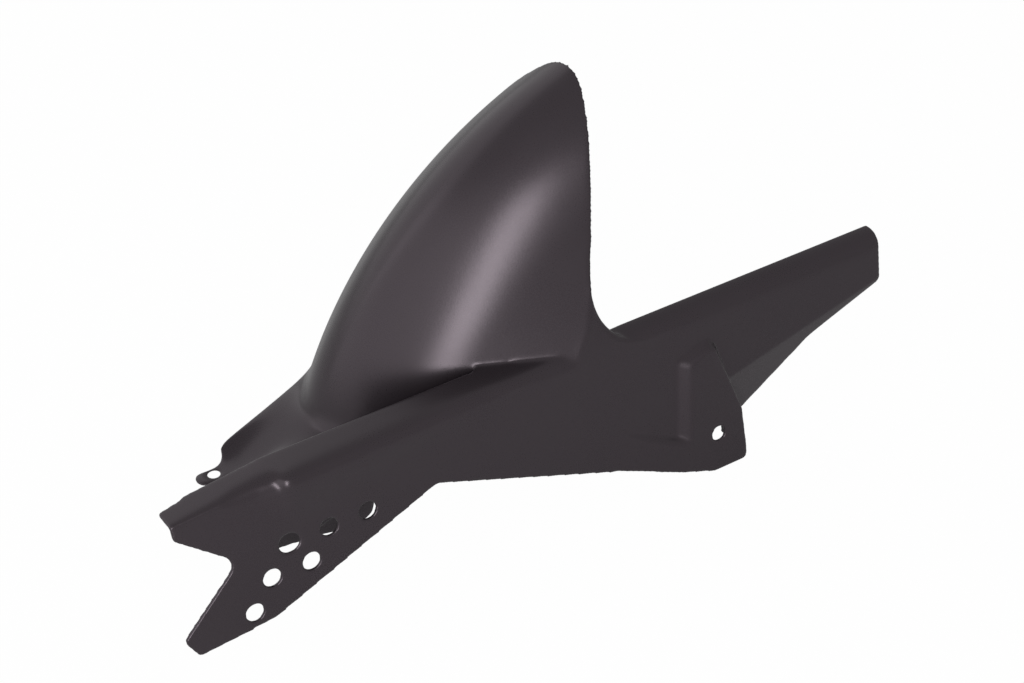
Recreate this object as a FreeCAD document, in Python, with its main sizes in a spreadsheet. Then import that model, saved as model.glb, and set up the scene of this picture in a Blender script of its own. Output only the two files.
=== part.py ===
import FreeCAD, Part
import math
import os
import Sketcher
from FreeCAD import Placement, Rotation, Vector

# A rear hugger for a motorbike: one vacuum-formed sheet that carries a tyre hump, a chain tunnel with
# its side plate, an apron with a mounting tab, and a chain-guard arm. Millimetres.
# The origin is the centre of the tab's hole, on the tab's top face. +X points to the rear of the bike,
# +Y to its right, +Z up. The wheel's middle plane is y = 0 and the chain side is at -Y.

sizes = {
    "wall": 3.0,
    # tyre hump: an arch turned about the wheel axle
    "axleX": 398.0,
    "axleZ": -104.0,
    "crownRadius": 345.0,
    "crownRound": 41.0,
    "flankAngle": 56.0,
    "kneeY": 54.4,
    "kneeRound": 130.0,
    "lowerFlankAngle": 30.0,
    "lipKneeX": 260.5,
    "lipKneeZ": 168.0,
    "lipRake": 14.0,
    "lipUpperRake": 23.7,
    "lipRound": 300.0,
    "farEdgeX": 150.0,
    # chain tunnel and side plate
    "tunnelTop": 66.0,
    "crestY": 74.0,
    "plateY": 99.0,
    "plateFlare": 10.4,
    "bulge": 6.8,
    "bulgeLength": 215.0,
    "tunnelFront": -6.0,
    "cornerRound": 7.0,
    # front prongs
    "prongFront": -76.0,
    "prongDroop": 9.0,
    "prongBottom": 47.0,
    "prongFold": 7.0,
    "mitreZ": 42.0,
    "noseLength": 33.0,
    "noseOffset": 4.0,
    "notchX": -36.0,
    "notchZ": 20.0,
    "notchRound": 8.0,
    "lowerTipX": -81.0,
    "lowerTipZ": -20.0,
    "lowerTipSize": 14.0,
    "frontKneeX": -18.0,
    "frontKneeZ": -30.0,
    # lower edge of the side plate, pad and arm
    "middleKneeX": 109.0,
    "middleKneeZ": 16.0,
    "padFront": 328.0,
    "padRear": 356.5,
    "padBottom": -61.5,
    "padShoulder": -49.0,
    "armKneeX": 425.0,
    "armKneeZ": 4.0,
    "armEnd": 489.0,
    "armEndBottom": 28.0,
    "armCurl": 14.0,
    "armRound": 12.0,
    "armEndRound": 6.0,
    "armTuck": 20.0,
    "tuckStart": 2.0,
    "tuckEnd": 32.0,
    "webRound": 45.0,
    "webHeight": 36.0,
    "webDrop": 9.0,
    "webThickness": 6.0,
    "webFlare": 15.0,
    "edgeRound": 5.0,
    # pad hole, its stiffening step and the six plate holes
    "padHoleX": 332.8,
    "padHoleZ": -33.6,
    "padHole": 11.0,
    "stepHeight": 6.0,
    "stepRun": 10.0,
    "plateHole": 12.5,
    "holePitch": 28.5,
    "holeRow": 19.0,
    "holeShift": 15.6,
    "holeTop": 18.0,
    # apron, gutter and mounting tab
    "apronTop": 9.0,
    "apronFront": 8.0,
    "apronSide": 18.7,
    "apronSpread": 22.3,
    "apronRound": 18.0,
    "tabWidth": 17.0,
    "tabFront": -14.0,
    "tabHole": 7.0,
    "tabRecess": 64.0,
    "recessSpread": 19.5,
    "recessWidth": 24.0,
    "gutterWidth": 22.0,
    "gutterFloor": -22.0,
    "gutterEnd": 76.0,
    "shelfFront": 158.0,
    "shelfDepth": 14.0,
    "valleyFront": 97.0,
    "valleyRise": 36.0,
    "valleyTop": 60.0,
    "valleyEnd": 200.0,
}

doc = FreeCAD.newDocument("RearHugger")
sheet = doc.addObject("Spreadsheet::Sheet", "Sizes")
for row, (alias, number) in enumerate(sizes.items(), start=1):
    sheet.set("A%d" % row, alias)
    sheet.set("B%d" % row, str(number))
    sheet.setAlias("B%d" % row, alias)
doc.recompute()


class Size:
    # a number together with the sheet formula that it comes from

    def __init__(self, number, formula):
        self.number = number
        self.formula = formula

    def __add__(self, other):
        other = asSize(other)
        return Size(self.number + other.number, "(%s + %s)" % (self.formula, other.formula))

    def __sub__(self, other):
        other = asSize(other)
        return Size(self.number - other.number, "(%s - %s)" % (self.formula, other.formula))

    def __mul__(self, other):
        other = asSize(other)
        return Size(self.number * other.number, "(%s * %s)" % (self.formula, other.formula))

    def __truediv__(self, other):
        other = asSize(other)
        return Size(self.number / other.number, "(%s / %s)" % (self.formula, other.formula))

    def __neg__(self):
        return Size(-self.number, "(-%s)" % self.formula)

    def __radd__(self, other):
        return asSize(other) + self

    def __rsub__(self, other):
        return asSize(other) - self

    def __rmul__(self, other):
        return asSize(other) * self

    def __rtruediv__(self, other):
        return asSize(other) / self


def asSize(number):
    if isinstance(number, Size):
        return number
    return Size(float(number), "(%.4f)" % number)


def size(alias):
    return Size(sizes[alias], "Sizes." + alias)


def tangent(angle):
    return Size(math.tan(math.radians(angle.number)), "tan(%s * 1 deg)" % angle.formula)


def sine(angle):
    return Size(math.sin(math.radians(angle.number)), "sin(%s * 1 deg)" % angle.formula)


def cosine(angle):
    return Size(math.cos(math.radians(angle.number)), "cos(%s * 1 deg)" % angle.formula)


sideView = Placement(Vector(0, 0, 0), Rotation(Vector(1, 0, 0), 90))
planView = Placement(Vector(0, 0, 0), Rotation())
endView = Placement(Vector(0, 0, 0), Rotation(Vector(1, 1, 1), 120))


def outline(label, placement, corners):
    # a closed sketch through corners (a, b) or (a, b, radius), each corner fixed by sheet formulas
    sketch = doc.addObject("Sketcher::SketchObject", label)
    sketch.Placement = placement
    count = len(corners)
    points = [Vector(asSize(c[0]).number, asSize(c[1]).number, 0) for c in corners]
    rounds = [asSize(c[2]) if len(c) > 2 else None for c in corners]
    starts, ends, arcs = [], [], []
    for i in range(count):
        before = (points[i - 1] - points[i]).normalize()
        after = (points[(i + 1) % count] - points[i]).normalize()
        if rounds[i] is None:
            starts.append(points[i])
            ends.append(points[i])
            arcs.append(None)
            continue
        half = before.getAngle(after) / 2
        reach = rounds[i].number / math.tan(half)
        first = points[i] + before * reach
        last = points[i] + after * reach
        centre = points[i] + (before + after).normalize() * (rounds[i].number / math.sin(half))
        starts.append(first)
        ends.append(last)
        turn = (before.cross(after)).z
        pair = (last, first) if turn > 0 else (first, last)
        angles = [math.atan2(p.y - centre.y, p.x - centre.x) for p in pair]
        circle = Part.Circle(centre, Vector(0, 0, 1), rounds[i].number)
        arcs.append((Part.ArcOfCircle(circle, angles[0], angles[1]), turn > 0))
    lines = [sketch.addGeometry(Part.LineSegment(ends[i], starts[(i + 1) % count])) for i in range(count)]
    for i in range(count):
        if arcs[i] is None:
            sketch.addConstraint(Sketcher.Constraint("Coincident", lines[i - 1], 2, lines[i], 1))
            place(sketch, lines[i], corners[i])
            continue
        arc = sketch.addGeometry(arcs[i][0])
        arcStart, arcEnd = (2, 1) if arcs[i][1] else (1, 2)
        sketch.addConstraint(Sketcher.Constraint("Tangent", lines[i - 1], 2, arc, arcStart))
        sketch.addConstraint(Sketcher.Constraint("Tangent", lines[i], 1, arc, arcEnd))
        fixed = sketch.addConstraint(Sketcher.Constraint("Radius", arc, rounds[i].number))
        sketch.setExpression("Constraints[%d]" % fixed, rounds[i].formula)
        corner = sketch.addGeometry(Part.Point(points[i]), True)
        sketch.addConstraint(Sketcher.Constraint("PointOnObject", corner, 1, lines[i - 1]))
        sketch.addConstraint(Sketcher.Constraint("PointOnObject", corner, 1, lines[i]))
        place(sketch, corner, corners[i])
    return sketch


def place(sketch, geometry, corner):
    for kind, value in (("DistanceX", asSize(corner[0])), ("DistanceY", asSize(corner[1]))):
        fixed = sketch.addConstraint(Sketcher.Constraint(kind, -1, 1, geometry, 1, value.number))
        sketch.setExpression("Constraints[%d]" % fixed, value.formula)


def extrude(label, sketch, forward, backward):
    solid = doc.addObject("Part::Extrusion", label)
    solid.Base = sketch
    solid.DirMode = "Normal"
    solid.Solid = True
    solid.setExpression("LengthFwd", asSize(forward).formula)
    solid.setExpression("LengthRev", asSize(backward).formula)
    return solid


def common(label, parts):
    result = doc.addObject("Part::MultiCommon", label)
    result.Shapes = parts
    return result


def fuse(label, parts):
    result = doc.addObject("Part::MultiFuse", label)
    result.Shapes = parts
    return result


def cut(label, base, tool):
    result = doc.addObject("Part::Cut", label)
    result.Base = base
    result.Tool = tool
    return result


zero = asSize(0)
wall = size("wall")
flare = size("plateFlare")
top = size("tunnelTop")
reach = 400.0


def plateAt(z, inset):
    # y of the flared side plate at height z, moved inwards by inset
    return -size("plateY") - (top - z) * tangent(flare) + inset / cosine(flare)


def lipAt(z, inset):
    # x of the raked rear lip at height z below its knee, moved forwards by inset
    rake = size("lipRake")
    return size("lipKneeX") - (size("lipKneeZ") - z) * tangent(rake) - inset / cosine(rake)


def lipBend():
    # the lip's knee and its upper end, in side view
    upper = size("lipKneeX") + (reach - size("lipKneeZ")) * tangent(size("lipUpperRake"))
    return [(size("lipKneeX"), size("lipKneeZ"), size("lipRound")), (upper, reach)]


def hump(name, inset, underside):
    # the arch section is turned about the axle, then kept ahead of the lip and inside the side plate
    upper = size("flankAngle")
    lower = size("lowerFlankAngle")
    apex = size("axleZ") + size("crownRadius") - size("crownRound")
    knee = apex + size("crownRound") / sine(upper) - size("kneeY") / tangent(upper)
    apex = apex + (size("crownRound") - inset) / sine(upper)
    fold = inset / (1 + cosine(upper - lower))
    kneeY = size("kneeY") - fold * (cosine(upper) + cosine(lower))
    kneeZ = knee - fold * (sine(upper) + sine(lower))
    base = size("axleZ") + 25
    spread = kneeY + (kneeZ - base) * tangent(lower)
    arch = outline(name + "Arch", endView, [
        (0, apex, size("crownRound") - inset),
        (-kneeY, kneeZ, size("kneeRound") - inset),
        (-spread, base),
        (spread, base),
        (kneeY, kneeZ, size("kneeRound") - inset)])
    arch.setExpression("Placement.Base.x", size("axleX").formula)
    ring = doc.addObject("Part::Revolution", name + "Ring")
    ring.Source = arch
    ring.Axis = Vector(0, 1, 0)
    ring.Angle = 360
    ring.Solid = True
    ring.setExpression("Base.x", size("axleX").formula)
    ring.setExpression("Base.z", size("axleZ").formula)
    rise = lipAt(top - 6, 0)
    edge = outline(name + "Edge", sideView, [
        (-reach, underside),
        (size("farEdgeX") if underside.number > 0 else rise, underside),
        (rise, top - 6),
        *lipBend(),
        (-reach, reach)])
    side = outline(name + "Side", endView, [
        (plateAt(reach, inset), reach),
        (plateAt(-reach, inset), -reach),
        (reach, -reach),
        (reach, reach)])
    return common(name, [ring, extrude(name + "Span", edge, reach, reach),
                         extrude(name + "Plane", side, 2 * reach, reach)])


def plateFrame(x, z, inset):
    # a frame on the side plate: local x to the rear, local y inwards, local z up along the plate
    origin = Vector(x, plateAt(asSize(z), asSize(inset)).number, z)
    return Placement(origin, Rotation(Vector(1, 0, 0), -sizes["plateFlare"]))


def foldedCorner(name, start, end, turn, inset):
    # a box whose one face is the sheet's new plane, turned inwards about the line from start to end
    run = Vector(end[0] - start[0], 0, end[1] - start[1])
    slope = math.degrees(math.atan2(run.z, run.x))
    box = doc.addObject("Part::Box", name)
    box.Length = 400
    box.Width = 120
    box.Height = 200
    frame = plateFrame(start[0], start[1], 0)
    lean = Placement(Vector(), Rotation(Vector(0, 1, 0), -slope))
    tilt = Placement(Vector(), Rotation(Vector(1, 0, 0), turn))
    drop = Vector(-inset, -120 + inset, -200)
    box.Placement = frame * lean * tilt * Placement(drop, Rotation())
    return box


def roundEdges(label, base, radius, test):
    # rounds each edge of the base whose middle point and direction pass the test
    doc.recompute()
    chosen = []
    for number, edge in enumerate(base.Shape.Edges, start=1):
        middle = edge.valueAt((edge.FirstParameter + edge.LastParameter) / 2)
        run = edge.valueAt(edge.LastParameter) - edge.valueAt(edge.FirstParameter)
        if test(edge, middle, run):
            chosen.append((number, radius.number, radius.number))
    result = doc.addObject("Part::Fillet", label)
    result.Base = base
    result.Edges = chosen
    return result


def tunnelSide(name, inset, corners):
    # a side-view outline swept across the tunnel, cut to the flared plate and rounded along its top corner
    flat = outline(name + "Flat", endView, [
        (-size("crestY") - inset, 150),
        (plateAt(asSize(150), inset), 150),
        (plateAt(asSize(-150), inset), -150),
        (-size("crestY") - inset, -150)])
    border = outline(name + "Border", sideView, corners)
    across = extrude(name + "Across", border, 250, 0)
    body = common(name + "Sharp", [extrude(name + "Plate", flat, 700, 200), across])
    lowest = sizes["tunnelTop"] - 3 * sizes["prongDroop"]

    def topCorner(edge, middle, run):
        outside = middle.y < -sizes["crestY"] - inset.number - 2
        level = abs(run.y) < 0.4 * run.Length
        return outside and level and abs(run.z) < 0.4 * run.Length and lowest < middle.z < 140
    return roundEdges(name, body, size("armRound") - inset, topCorner)


def guard(name, inset):
    # prong, tunnel and arm under one top corner, and the bulged tunnel side
    under = top - inset
    droop = size("prongDroop") / size("prongFront")
    side = tunnelSide(name + "Side", inset, [
        (2 * reach, under), (0, under), (-180, under + droop * 180), (-180, -140), (2 * reach, -140)])
    swell = outline(name + "Swell", planView, [
        (0 + inset, -size("plateY") - size("bulge") + inset),
        (size("bulgeLength") + inset, -size("plateY") + inset),
        (size("bulgeLength") + inset, -size("crestY") - inset),
        (0 + inset, -size("crestY") - inset)])
    block = extrude(name + "SwellBlock", swell, under, 0)

    def swellCorner(edge, middle, run):
        onTop = middle.z > under.number - 0.1
        return middle.y < -sizes["plateY"] and (onTop or middle.x < inset.number + 0.1)
    bulged = roundEdges(name + "Bulged", block, size("cornerRound") - inset, swellCorner)
    return fuse(name, [side, bulged])


def web():
    # the fold that joins the hump's lip to the arm: the side plate goes on upwards and leans in to the flank
    lip = lipAt(top, 0)
    height = top + size("webHeight")
    end = lip + size("webRound") + 20
    level = top - size("webDrop")
    bottom = top - size("armRound") - 2
    edge = outline("WebEdge", sideView, [
        (end, level), (lipAt(level, 0), level, size("webRound")), (lipAt(height, 0.6), height),
        (lip - 8, top), (lip - 8, bottom), (end, bottom)])
    thick = size("webThickness")
    lean = (150 - top) * tangent(size("webFlare"))
    flat = outline("WebFlat", endView, [
        (-size("plateY") + lean + thick, 150),
        (-size("plateY") + lean, 150),
        (-size("plateY"), top),
        (plateAt(asSize(0), zero), 0),
        (plateAt(asSize(0), thick), 0),
        (-size("plateY") + thick, top)])
    return common("Web", [extrude("WebAcross", edge, 250, 0), extrude("WebPlate", flat, 700, 0)])


def sheetOutline():
    # the trimmed border of the tunnel side, plate, pad and arm in side view
    return [
        (size("armEnd"), top + 3, size("armEndRound")),
        (size("prongFront"), top + 80),
        (size("prongFront") + 3, size("prongBottom"), 3),
        (size("notchX"), size("notchZ"), size("notchRound")),
        (size("lowerTipX"), size("lowerTipZ"), 4),
        (size("lowerTipX") + size("lowerTipSize") * 0.6, size("lowerTipZ") - size("lowerTipSize"), 4),
        (size("frontKneeX"), size("frontKneeZ"), 12),
        (size("middleKneeX"), size("middleKneeZ"), 4),
        (size("padFront"), size("padBottom"), size("edgeRound")),
        (size("padRear"), size("padBottom"), size("edgeRound")),
        (size("padRear"), size("padShoulder"), 3),
        (size("armKneeX"), size("armKneeZ"), 25),
        (size("armEnd"), size("armEndBottom"), size("edgeRound"))]


def step(name, inset):
    # the pad stands out from the plate behind a short ramp, the lower edge rises towards it, and a wall
    # joins its rear edge to the arm's tucked underside
    def facing(offset):
        inwards = Placement(Vector(0, offset, 0), Rotation())
        return plateFrame(0, sizes["tunnelTop"], 0) * inwards * sideView
    x = size("padHoleX")
    rear = x - inset
    low = size("padHoleZ") - top
    run = size("stepRun")
    foot = outline(name + "Foot", facing(inset + 0.6), [
        (x - 85, low + 31), (x - 34, low + 6), (x - 29, low + 65), (x - 1, low + 73),
        (rear + 4, low + 69), (rear + 22.5, low + 11), (rear + 25, low - 28), (rear + 25, low - 51),
        (x - 97, low - 51)])
    face = outline(name + "Face", facing(inset - sizes["stepHeight"]), [
        (x - 30, low - 3), (x - 34 + run, low + 1), (x - 29 + run, low + 60), (x - 3, low + 67),
        (rear + 2, low + 65), (rear + 21.5, low + 11), (rear + 24, low - 28), (rear + 24, low - 51),
        (x - 33, low - 51)])
    ramp = doc.addObject("Part::Loft", name + "Ramp")
    ramp.Sections = [foot, face]
    ramp.Solid = True
    ramp.Ruled = True
    back = outline(name + "Back", facing(inset - sizes["stepHeight"]), [
        (x + 6, low + 34), (rear + 13, low + 34), (rear + 21.5, low + 11), (rear + 24, low - 28),
        (rear + 24, low - 51), (x + 6, low - 51)])
    return fuse(name, [ramp, extrude(name + "Wall", back, 0, size("stepHeight") + 24)])


def guardWithFolds(name, inset):
    # the prong and the arm's lower edge turn inwards, and the step stands out
    body = guard(name, asSize(inset))
    mitre = (0, sizes["mitreZ"])
    notch = (sizes["notchX"], sizes["notchZ"])
    prong = foldedCorner(name + "Prong", mitre, notch, sizes["prongFold"], inset)
    shoulder = (sizes["padRear"] - 10, sizes["tuckStart"])
    tip = (sizes["armEnd"], sizes["tuckEnd"])
    tuck = foldedCorner(name + "Tuck", shoulder, tip, sizes["armTuck"], inset)
    folded = cut(name + "Folded", body, fuse(name + "Folds", [prong, tuck]))
    return fuse(name + "Stepped", [folded, step(name + "Step", inset)])


humpSolid = hump("HumpOuter", zero, size("apronTop") - wall)
humpHollow = hump("HumpInner", wall, asSize(-180))
border = outline("SheetOutline", sideView, sheetOutline())
guardFolded = guardWithFolds("GuardOuter", 0)
guardSolid = common("GuardTrimmed", [guardFolded, extrude("SheetBorder", border, 250, 0)])
guardHollow = guardWithFolds("GuardInner", sizes["wall"])

# apron: a level floor with a sunken tab and a gutter beside the tunnel
spread = tangent(size("apronSpread"))
apronEnd = size("farEdgeX") + 20
apronPlan = outline("ApronPlan", planView, [
    (size("tunnelFront"), -size("crestY") - 1),
    (size("apronFront"), -size("tabWidth") / 2 - 14),
    (size("apronFront"), -size("tabWidth") / 2, 3),
    (size("tabFront"), -size("tabWidth") / 2, 8),
    (size("tabFront"), size("tabWidth") / 2, 8),
    (size("apronFront"), size("tabWidth") / 2, 3),
    (size("apronFront"), size("apronSide"), size("apronRound")),
    (apronEnd, size("apronSide") + (apronEnd - size("apronFront")) * spread),
    (apronEnd, -size("crestY") - 1)])
apronSolid = extrude("ApronBlock", apronPlan, size("apronTop"), 60)
underPlan = outline("UnderPlan", planView, [
    (size("tabFront") - 10, -size("crestY") - wall - 1),
    (size("tabFront") - 10, size("apronSide") + 10),
    (apronEnd + 1, size("apronSide") + 10 + (apronEnd - size("tabFront") + 11) * spread),
    (apronEnd + 1, -size("crestY") - wall - 1)])
apronHollow = extrude("ApronUnder", underPlan, size("apronTop") - wall, 80)


def recess(name, grow):
    # a scoop behind the tab: it widens to the rear and its floor rises to the apron
    half = size("recessWidth") / 2 + grow
    end = size("tabRecess") + grow
    wide = half + (end - size("apronFront")) * tangent(size("recessSpread"))
    plan = outline(name + "Plan", planView, [
        (-60, -half), (end, -half, 4 + grow), (end, wide, 4 + grow),
        (size("apronFront"), half, 6), (-60, half)])
    side = outline(name + "Side", sideView, [
        (-60, -grow), (size("apronFront") + 10, -grow, 12), (end, size("apronTop") + 0.5 - grow),
        (end, 60), (-60, 60)])
    return common(name, [extrude(name + "Block", plan, 80, 20), extrude(name + "Floor", side, 100, 100)])


def gutter(name, grow):
    floor = size("gutterFloor") - grow
    shape = outline(name + "Side", sideView, [
        (-40, 40), (-40, floor + 15), (16, floor + 11), (size("gutterEnd") - 14 + grow, floor, 6),
        (size("gutterEnd") + grow, floor + 6, 4), (size("gutterEnd") + 21 + grow, 40)])
    pocket = extrude(name, shape, size("crestY") + grow, -size("crestY") + size("gutterWidth") + grow)
    return pocket


pockets = fuse("ApronPockets", [recess("TabPocket", zero), gutter("Gutter", zero)])
apronSolid = cut("ApronTopped", apronSolid, pockets)
pocketsUnder = fuse("UnderPockets", [recess("TabUnder", wall), gutter("GutterUnder", wall)])
apronHollow = cut("ApronHollow", apronHollow, pocketsUnder)


def behindLip():
    # everything on the wheel side of the arm's curl, behind the lip
    shape = outline("BehindLip", sideView, [
        (lipAt(asSize(-200), 0), -200),
        *lipBend(),
        (2 * reach, reach),
        (2 * reach, -200)])
    return extrude("ArmOpening", shape, -(size("armCurl") - size("plateY")), reach)


def prongInside():
    # no inner wall ahead of the apron, and a nose that leans outwards
    under = top - wall
    droop = size("prongDroop") / size("prongFront")
    shape = outline("ProngInside", sideView, [
        (size("tunnelFront"), under - droop * -size("tunnelFront")),
        (-180, under + droop * 180),
        (-180, -140),
        (size("tunnelFront"), -140)])
    opening = extrude("ProngOpening", shape, size("crestY") + wall + 1, -size("crestY") + 20)
    lean = size("noseOffset") / size("noseLength")
    nose = outline("NosePlan", planView, [
        (size("prongFront") + size("noseLength"), -size("crestY"), 20),
        (size("prongFront") - 20, -size("crestY") - lean * (size("noseLength") + 20)),
        (size("prongFront") - 20, -size("crestY") + 20),
        (size("prongFront") + size("noseLength"), -size("crestY") + 20)])
    return fuse("ProngTrim", [opening, extrude("NoseTrim", nose, 200, 200)])


def drill(label, x, z, diameter):
    # a drill square to the flared side plate
    tool = doc.addObject("Part::Cylinder", label)
    tool.setExpression("Radius", (diameter / 2).formula)
    tool.Height = 60
    centre = plateFrame(x.number, z.number, 0)
    tool.Placement = centre * Placement(Vector(0, 30, 0), Rotation(Vector(1, 0, 0), 90))
    return tool


def valley(name, inset):
    # the floor between the hump and the tunnel climbs from the apron to just under the crest
    climb = tangent(size("valleyRise"))
    front = size("valleyFront") + inset / sine(size("valleyRise"))
    base = size("apronTop") - wall
    bottom = base - 1 - inset * 10
    upper = size("valleyTop") - inset
    side = outline(name + "Side", sideView, [
        (front - wall / climb, bottom),
        (front - wall / climb, base),
        (front + (upper - size("apronTop")) / climb, upper),
        (size("valleyEnd"), upper),
        (size("valleyEnd"), bottom)])
    return extrude(name, side, size("crestY") + 1 - inset / wall, -20)


def shelf():
    # closes the gap between the tunnel's crest and the flank where they draw together
    front = size("shelfFront")
    inside = -size("crestY") + size("shelfDepth")
    plan = outline("ShelfPlan", planView, [
        (front, -size("crestY") + 1), (front + 15, inside - 7), (front + 38, inside),
        (front + 38, -size("crestY") - wall - 2), (front, -size("crestY") - wall - 2)])
    return extrude("Shelf", plan, top, wall - top)


outer = fuse("OuterForm", [humpSolid, apronSolid, guardSolid, web(), valley("Valley", zero), shelf()])
inner = fuse("InnerForm", [humpHollow, guardHollow, apronHollow, valley("ValleyUnder", wall)])
shell = cut("Shell", outer, inner)

tools = [behindLip(), prongInside(), drill("PadHole", size("padHoleX"), size("padHoleZ"), size("padHole"))]
for line in range(3):
    for hole in range(3 - line):
        x = size("holePitch") * hole - size("holeShift") * line
        z = size("holeTop") - size("holeRow") * line
        tools.append(drill("PlateHole%d%d" % (line + 1, hole + 1), x, z, size("plateHole")))
tabDrill = doc.addObject("Part::Cylinder", "TabHole")
tabDrill.setExpression("Radius", (size("tabHole") / 2).formula)
tabDrill.Height = 40
tabDrill.Placement.Base = Vector(0, 0, -20)
tools.append(tabDrill)

hugger = cut("Hugger", shell, fuse("Trims", tools))
hugger.Label = "rear_hugger"
doc.recompute()
for item in doc.Objects:
    if "Invalid" in item.State or "Error" in item.State:
        raise RuntimeError("%s did not recompute" % item.Name)
    if hasattr(item, "Shape") and (item.Shape.isNull() or not item.Shape.isValid()):
        raise RuntimeError("%s has no valid shape" % item.Name)
if len(hugger.Shape.Solids) != 1:
    raise RuntimeError("the hugger is not one solid")
print("rear_hugger", round(hugger.Shape.Volume), "mm3")
os.makedirs("parts", exist_ok=True)
hugger.Shape.exportStep("parts/rear_hugger.step")
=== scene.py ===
import bpy
import bmesh
import math
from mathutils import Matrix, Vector
from mathutils.kdtree import KDTree


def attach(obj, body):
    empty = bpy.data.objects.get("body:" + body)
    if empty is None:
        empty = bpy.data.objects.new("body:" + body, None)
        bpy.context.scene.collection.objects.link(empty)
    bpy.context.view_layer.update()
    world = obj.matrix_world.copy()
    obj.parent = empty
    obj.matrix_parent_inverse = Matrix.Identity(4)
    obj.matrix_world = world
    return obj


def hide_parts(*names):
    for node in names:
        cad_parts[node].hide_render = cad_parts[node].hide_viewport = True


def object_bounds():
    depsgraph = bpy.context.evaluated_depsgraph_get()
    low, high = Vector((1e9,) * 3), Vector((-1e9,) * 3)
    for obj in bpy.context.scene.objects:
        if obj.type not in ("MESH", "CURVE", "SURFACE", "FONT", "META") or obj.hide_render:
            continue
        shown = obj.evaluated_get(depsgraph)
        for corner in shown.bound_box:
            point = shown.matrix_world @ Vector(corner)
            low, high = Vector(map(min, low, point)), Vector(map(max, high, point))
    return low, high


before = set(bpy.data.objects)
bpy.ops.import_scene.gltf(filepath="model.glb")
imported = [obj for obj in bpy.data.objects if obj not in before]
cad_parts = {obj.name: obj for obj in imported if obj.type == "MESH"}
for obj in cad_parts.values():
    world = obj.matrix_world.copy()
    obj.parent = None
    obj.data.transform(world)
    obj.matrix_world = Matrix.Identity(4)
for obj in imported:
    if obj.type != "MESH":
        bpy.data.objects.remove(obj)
cadBox = [list(corner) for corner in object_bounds()]
scene = bpy.context.scene
print("frame loaded:", sorted(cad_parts))


class Sock:
    # wraps a shader socket: sums and products of it add Math nodes, and numbered inputs are i0, i1, i2

    def __init__(self, tree, out):
        self.tree = tree
        self.out = out

    def node(self, kind, settings=None, **inputs):
        made = self.tree.nodes.new(kind)
        for name, value in (settings or {}).items():
            setattr(made, name, value)
        for name, value in inputs.items():
            numbered = name[0] == "i" and name[1:].isdigit()
            socket = made.inputs[int(name[1:]) if numbered else name.replace("_", " ")]
            if isinstance(value, Sock):
                self.tree.links.new(value.out, socket)
            else:
                socket.default_value = value
        return made

    def maths(self, operation, other, swap=False):
        first, second = (other, self) if swap else (self, other)
        made = self.node("ShaderNodeMath", {"operation": operation}, i0=first, i1=second)
        return Sock(self.tree, made.outputs[0])

    def __add__(self, other):
        return self.maths("ADD", other)

    def __radd__(self, other):
        return self.maths("ADD", other, True)

    def __sub__(self, other):
        return self.maths("SUBTRACT", other)

    def __mul__(self, other):
        return self.maths("MULTIPLY", other)

    def pick(self, made, output=0):
        return Sock(self.tree, made.outputs[output])


def newMaterial(name):
    made = bpy.data.materials.new(name)
    made.use_nodes = True
    tree = made.node_tree
    tree.nodes.clear()
    end = tree.nodes.new("ShaderNodeOutputMaterial")
    return made, Sock(tree, None), end


formedSheet = {
    "baseColor": (0.017, 0.0135, 0.016, 1),
    "paleColor": (0.021, 0.017, 0.0195, 1),
    "roughness": 0.28,
    "roughnessSpread": 0.05,
    "specular": 0.5,
    "specularTint": (1.0, 0.87, 0.965, 1),
    "cloudScale": 14,
    "cloudDetail": 3.0,
    "grainScale": 1500,
    "grainDetail": 2.0,
    "grainRoughness": 0.06,
    "grainDepth": 0.00006,
    "grainStrength": 0.5,
    "waveScale": 26,
    "waveDetail": 1.0,
    "waveDepth": 0.0004,
    "waveStrength": 0.25,
}


def noise(kit, place, scale, detail):
    return kit.pick(kit.node("ShaderNodeTexNoise", Vector=place, Scale=scale, Detail=detail))


def formedSheetMaterial(values):
    made, kit, end = newMaterial("satinBlackSheet")
    place = kit.pick(kit.node("ShaderNodeTexCoord"), "Object")
    cloud = noise(kit, place, values["cloudScale"], values["cloudDetail"])
    grain = noise(kit, place, values["grainScale"], values["grainDetail"])
    wave = noise(kit, place, values["waveScale"], values["waveDetail"])
    tone = kit.node("ShaderNodeMix", {"data_type": "RGBA"}, Factor=cloud)
    tone.inputs[6].default_value = values["baseColor"]
    tone.inputs[7].default_value = values["paleColor"]
    spread = (cloud - 0.5) * values["roughnessSpread"]
    rough = values["roughness"] + spread + (grain - 0.5) * values["grainRoughness"]
    fine = kit.node("ShaderNodeBump", Height=grain, Distance=values["grainDepth"],
                    Strength=values["grainStrength"])
    broad = kit.node("ShaderNodeBump", Height=wave, Distance=values["waveDepth"],
                     Strength=values["waveStrength"], Normal=kit.pick(fine))
    skin = kit.node("ShaderNodeBsdfPrincipled", Roughness=rough, Normal=kit.pick(broad),
                    Specular_IOR_Level=values["specular"], Specular_Tint=values["specularTint"])
    kit.tree.links.new(tone.outputs[2], skin.inputs["Base Color"])
    kit.tree.links.new(skin.outputs[0], end.inputs["Surface"])
    return made


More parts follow.
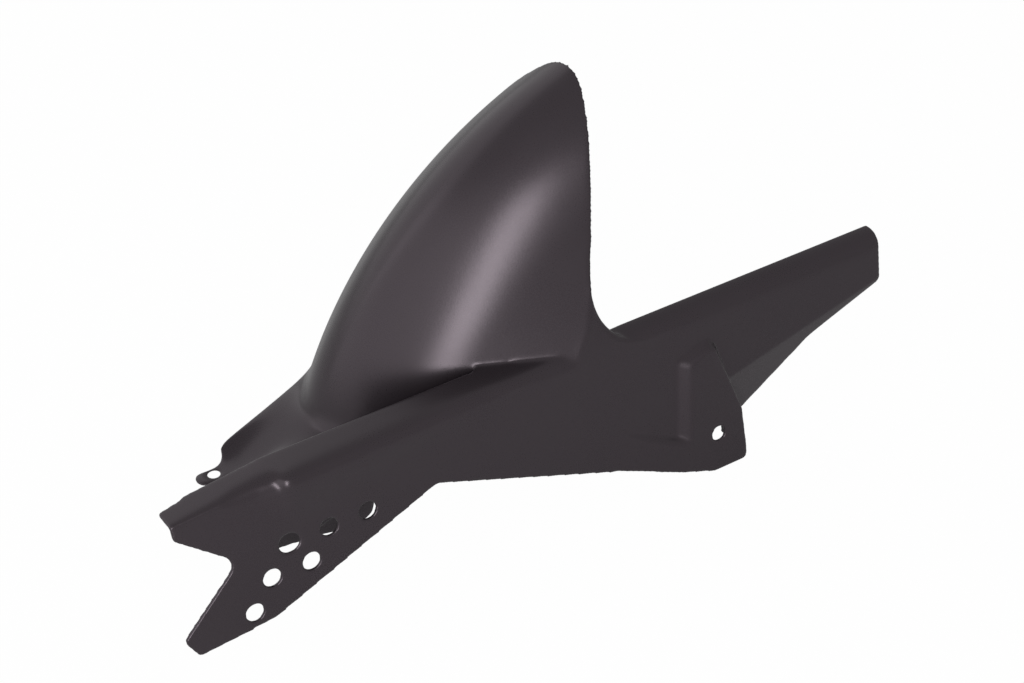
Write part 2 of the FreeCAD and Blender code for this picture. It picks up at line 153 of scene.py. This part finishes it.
hugger = {
    "node": "rear_hugger",
    "weld": 0.00001,
    "voxel": 0.0008,
    "smoothSteps": 16,
    "smoothFactor": 0.5,
    "faces": 185000,
    "pointStep": 0.001,
    "foldAngle": 12,
    # curved faces are evened out away from the edges:
    # the least angle of an edge, how far it holds, and how strong the evening is
    "keepAngle": 20,
    "keepReach": 0.014,
    "evenSteps": 400,
    # soft folds: the box that holds the fold's edges, the reach of the softening and its strength
    "softFolds": {
        "humpFoot": ((0.066, -0.056, 0.007), (0.150, 0.072, 0.011), 0.05, 1000),
        "webCrease": ((0.190, -0.105, 0.055), (0.262, -0.080, 0.125), 0.010, 60),
        "padStep": ((0.236, -0.130, -0.042), (0.318, -0.095, 0.042), 0.007, 30),
        "mitre": ((-0.030, -0.120, 0.020), (0.012, -0.090, 0.070), 0.014, 200),
        "kink": ((0.150, -0.078, 0.054), (0.200, -0.055, 0.068), 0.005, 25),
    },
}


def modify(piece, kind, **values):
    step = piece.modifiers.new(kind, kind)
    for name, value in values.items():
        setattr(step, name, value)
    depsgraph = bpy.context.evaluated_depsgraph_get()
    mesh = bpy.data.meshes.new_from_object(piece.evaluated_get(depsgraph))
    piece.modifiers.remove(step)
    old = piece.data
    piece.data = mesh
    bpy.data.meshes.remove(old)


def foldPoints(shape, low, high, angle, step):
    # points along the sharp edges whose middle lies in the box
    points = []
    for edge in shape.edges:
        first, last = edge.verts[0].co, edge.verts[1].co
        middle = (first + last) / 2
        inside = all(low[i] <= middle[i] <= high[i] for i in range(3))
        if inside and len(edge.link_faces) == 2 and edge.calc_face_angle() > angle:
            count = max(1, round((last - first).length / step))
            points += [first.lerp(last, (n + 0.5) / count) for n in range(count)]
    return points


def soften(piece, points, reach, steps, factor, away=False):
    # smooths near the points, or away from them
    tree = KDTree(len(points))
    for number, point in enumerate(points):
        tree.insert(point, number)
    tree.balance()
    low = [min(p[i] for p in points) - reach for i in range(3)]
    high = [max(p[i] for p in points) + reach for i in range(3)]
    group = piece.vertex_groups.new(name="fold")
    for vertex in piece.data.vertices:
        x, y, z = vertex.co
        if not (low[0] < x < high[0] and low[1] < y < high[1] and low[2] < z < high[2]):
            continue
        part = min(1, tree.find(vertex.co)[2] / reach)
        part = part if away else 1 - part
        if part > 0:
            group.add([vertex.index], part * part * (3 - 2 * part), "REPLACE")
    modify(piece, "SMOOTH", factor=factor, iterations=steps, vertex_group="fold")
    piece.vertex_groups.clear()


def triangleCount(piece):
    return sum(len(polygon.vertices) - 2 for polygon in piece.data.polygons)


def formedHugger(values, material):
    # the solid's own form with every fold softened, as a sheet drawn over a mould
    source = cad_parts[values["node"]]
    factor, step = values["smoothFactor"], values["pointStep"]
    shape = bmesh.new()
    shape.from_mesh(source.data)
    bmesh.ops.remove_doubles(shape, verts=shape.verts, dist=values["weld"])
    angle = math.radians(values["foldAngle"])
    folds = values["softFolds"]
    points = {name: foldPoints(shape, *fold[:2], angle, step) for name, fold in folds.items()}
    edges = foldPoints(shape, *cadBox, math.radians(values["keepAngle"]), step)
    form = bpy.data.objects.new("form", bpy.data.meshes.new("form"))
    shape.to_mesh(form.data)
    shape.free()
    piece = bpy.data.objects.new("hugger_skin", form.data.copy())
    for each in (form, piece):
        scene.collection.objects.link(each)
    modify(piece, "REMESH", mode="VOXEL", voxel_size=values["voxel"], use_smooth_shade=True)
    modify(piece, "SHRINKWRAP", target=form, wrap_method="NEAREST_SURFACEPOINT")
    bpy.data.objects.remove(form)
    modify(piece, "SMOOTH", factor=factor, iterations=values["smoothSteps"])
    print("kept edges:", len(edges), "points,", len(piece.data.vertices), "vertices")
    soften(piece, edges, values["keepReach"], values["evenSteps"], factor, True)
    for name, fold in folds.items():
        print("soft fold", name, len(points[name]), "points")
        if points[name]:
            soften(piece, points[name], *fold[2:], factor)
    triangles = triangleCount(piece)
    print("hugger skin before thinning:", triangles, "triangles")
    if triangles > values["faces"]:
        modify(piece, "DECIMATE", ratio=values["faces"] / triangles)
    for polygon in piece.data.polygons:
        polygon.use_smooth = True
    piece.data.materials.clear()
    piece.data.materials.append(material)
    print("hugger skin:", triangleCount(piece), "triangles")
    return piece


skinMaterial = formedSheetMaterial(formedSheet)
skin = formedHugger(hugger, skinMaterial)
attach(skin, "root")
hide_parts(hugger["node"])


studio = {
    "floorZ": -0.0625,
    "floorSize": 14,
    "white": (1, 1, 1, 1),
    "whiteStrength": 1.0,
    "floorColor": (0.6, 0.6, 0.6, 1),
    "floorWhite": 0.985,
    "worldLight": 0.47,
    "middle": (0.2, -0.03, 0.06),
    # each soft box: azimuth, elevation, distance, width, height, power, and roll about its own axis
    "softBoxes": {
        "keyLight": (-31, 20, 2.4, 0.6, 2.4, 43, -8),
        "sideLight": (-87, 25, 2.5, 4.0, 2.5, 24, 0),
        "backLight": (-160, 30, 2.5, 3.5, 2.5, 15, 0),
    },
}


def aim(piece, place, target):
    piece.location = place
    piece.rotation_euler = (Vector(target) - Vector(place)).to_track_quat("-Z", "Y").to_euler()


def around(target, azimuth, elevation, distance):
    a, e = math.radians(azimuth), math.radians(elevation)
    back = Vector((math.sin(a) * math.cos(e), -math.cos(a) * math.cos(e), math.sin(e)))
    return Vector(target) + back * distance


def softBox(name, target, azimuth, elevation, distance, width, height, power, roll):
    lamp = bpy.data.lights.new(name, "AREA")
    lamp.shape = "RECTANGLE"
    lamp.size = width
    lamp.size_y = height
    lamp.energy = power
    piece = bpy.data.objects.new(name, lamp)
    scene.collection.objects.link(piece)
    aim(piece, around(target, azimuth, elevation, distance), target)
    piece.rotation_euler.rotate_axis("Z", math.radians(roll))
    return piece


def whiteStage(values):
    mesh = bpy.data.meshes.new("floor")
    half, z = values["floorSize"] / 2, values["floorZ"]
    corners = [(-half, -half, z), (half, -half, z), (half, half, z), (-half, half, z)]
    mesh.from_pydata(corners, [], [(0, 1, 2, 3)])
    floor = bpy.data.objects.new("floor", mesh)
    scene.collection.objects.link(floor)
    made, kit, end = newMaterial("paleFloor")
    rays = kit.node("ShaderNodeLightPath")
    paper = kit.node("ShaderNodeBsdfDiffuse", Color=values["floorColor"])
    white = kit.node("ShaderNodeEmission", Color=values["white"], Strength=values["whiteStrength"])
    seen = kit.pick(rays, "Is Camera Ray") * values["floorWhite"]
    mix = kit.node("ShaderNodeMixShader", i0=seen, i1=kit.pick(paper), i2=kit.pick(white))
    kit.tree.links.new(mix.outputs[0], end.inputs["Surface"])
    mesh.materials.append(made)

    world = bpy.data.worlds.new("studio")
    world.use_nodes = True
    tree = world.node_tree
    tree.nodes.clear()
    sky = Sock(tree, None)
    end = tree.nodes.new("ShaderNodeOutputWorld")
    rays = sky.node("ShaderNodeLightPath")
    light = sky.node("ShaderNodeBackground", Color=values["white"], Strength=values["worldLight"])
    seen = sky.node("ShaderNodeBackground", Color=values["white"], Strength=values["whiteStrength"])
    mix = sky.node("ShaderNodeMixShader", i0=sky.pick(rays, "Is Camera Ray"),
                   i1=sky.pick(light), i2=sky.pick(seen))
    tree.links.new(mix.outputs[0], end.inputs["Surface"])
    scene.world = world


view = {
    "target": (0.256, 0.026, -0.013),
    "azimuth": -33.5,
    "elevation": 37,
    "distance": 1.606,
    "focalPixels": 2200,
    "imageWidth": 1024,
    "sensor": 36,
    "clipStart": 0.05,
}


def photoCamera(values):
    lens = bpy.data.cameras.new("photoView")
    lens.sensor_fit = "HORIZONTAL"
    lens.sensor_width = values["sensor"]
    lens.lens = values["focalPixels"] / values["imageWidth"] * values["sensor"]
    lens.clip_start = values["clipStart"]
    piece = bpy.data.objects.new("photoView", lens)
    scene.collection.objects.link(piece)
    spot = around(values["target"], values["azimuth"], values["elevation"], values["distance"])
    aim(piece, spot, values["target"])
    scene.camera = piece


whiteStage(studio)
for name, box in studio["softBoxes"].items():
    softBox(name, studio["middle"], *box)
photoCamera(view)
scene.view_settings.view_transform = "Standard"
print("studio ready")
